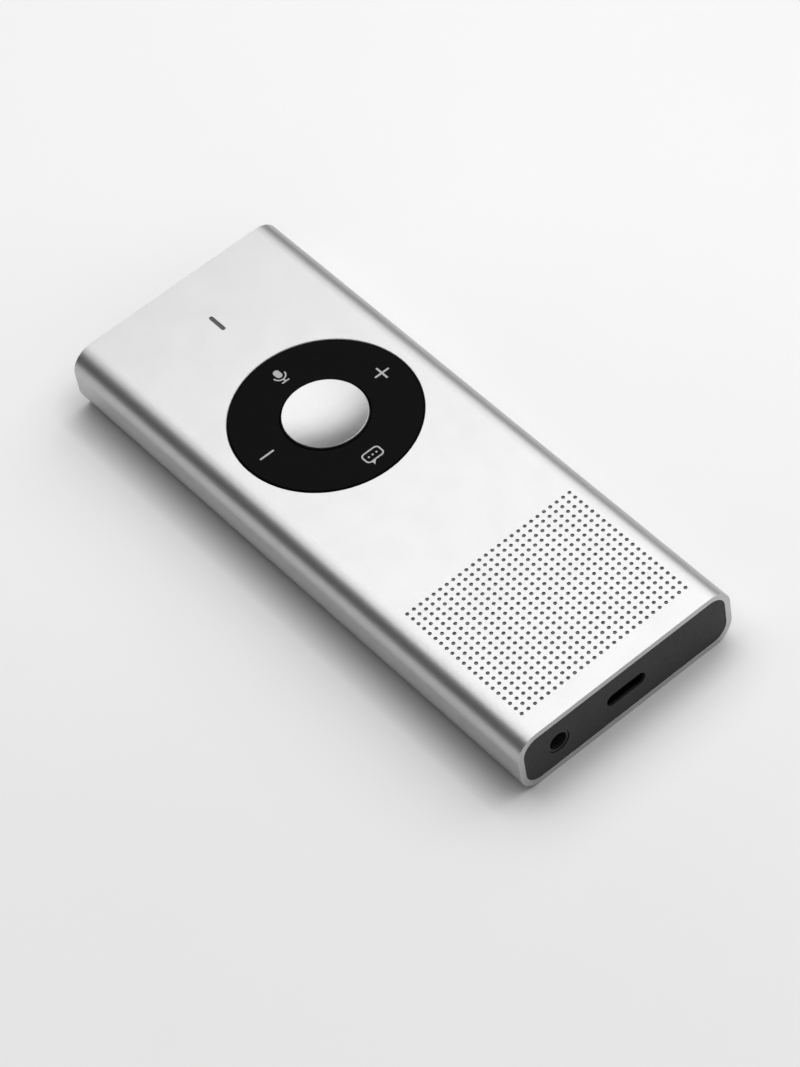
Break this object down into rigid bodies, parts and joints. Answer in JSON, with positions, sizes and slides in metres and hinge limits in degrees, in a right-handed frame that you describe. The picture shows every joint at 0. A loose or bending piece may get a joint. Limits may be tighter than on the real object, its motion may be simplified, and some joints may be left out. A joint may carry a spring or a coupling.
{
  "type": "handheld translator",
  "caption": "Slim pocket translator: aluminium tube with a four-way ring key round a centre button, a drilled speaker grille, a status window and plastic end caps.",
  "frame": {"origin": "on the floor under the middle of the part, which lies on its back", "axes": "+X to the right seen from the front end, +Y along the tube towards the microphone end, +Z out of the keys"},
  "size_m": [0.047, 0.1206, 0.0134],
  "materials": {
    "shell_aluminium": "fine bead-blasted, clear anodised",
    "cap_plastic": "fine moulded texture",
    "chassis_plastic": "moulded",
    "ring_plastic": "satin black",
    "button_aluminium": "fine satin, dished",
    "black_plastic": "moulded",
    "switch_plastic": "moulded",
    "window_plastic": "smoked, clear",
    "led": "clear",
    "circuit_board": "solder mask",
    "chip": "moulded",
    "tinplate": "plain sheet",
    "steel": "plain",
    "black_nickel": "black nickel plated",
    "contact_brass": "plated",
    "rubber": "matte",
    "foam": "closed-cell foam",
    "mesh_fabric": "fine woven mesh",
    "flex_film": "polyimide film",
    "battery_foil": "laminated foil"
  },
  "bodies": {
    "housing": {"shell": "shell_aluminium", "front_cap": "cap_plastic", "rear_cap": "cap_plastic", "chassis": "chassis_plastic", "key_bracket": "steel", "bracket_screws": "steel", "key_switches": "switch_plastic", "centre_switch": "switch_plastic", "light_pipe": "window_plastic", "status_led": "led", "main_board": "circuit_board", "board_chips": "chip", "shield_can": "tinplate", "board_screws": "steel", "antenna": "contact_brass", "microphones": "tinplate", "mic_boots": "rubber", "battery": "battery_foil", "battery_pad": "foam", "battery_board": "circuit_board", "battery_lead": "flex_film", "dust_mesh": "mesh_fabric", "speaker_gasket": "foam", "speaker_basket": "black_plastic", "speaker_magnet": "steel", "voice_coil": "contact_brass", "speaker_cone": "black_plastic", "cone_surround": "rubber", "speaker_contacts": "contact_brass", "port_board": "circuit_board", "port_screws": "steel", "port_flex": "flex_film", "usb_receptacle": "black_nickel", "usb_tongue": "black_plastic", "usb_contacts": "contact_brass", "headset_jack": "black_plastic", "jack_contacts": "contact_brass"},
    "carrier": {"rocker_carrier": "steel"},
    "ring": {"ring_key": "ring_plastic"},
    "button": {"button_cap": "button_aluminium", "button_plunger": "black_plastic"}
  },
  "joints": [
    {"name": "ring_tilt_front_back", "type": "hinge", "parent": "housing", "child": "carrier", "pos_m": [0, 0.017, 0.0092], "axis": [1, 0, 0], "range_deg": [-1, 1], "stiffness_Nm_per_rad": 1},
    {"name": "ring_tilt_left_right", "type": "hinge", "parent": "carrier", "child": "ring", "pos_m": [0, 0.017, 0.0092], "axis": [0, 1, 0], "range_deg": [-1, 1], "stiffness_Nm_per_rad": 1},
    {"name": "centre_button_press", "type": "slide", "parent": "housing", "child": "button", "axis": [0, 0, -1], "range_m": [0, 0.0003], "stiffness_N_per_m": 4000}
  ]
}
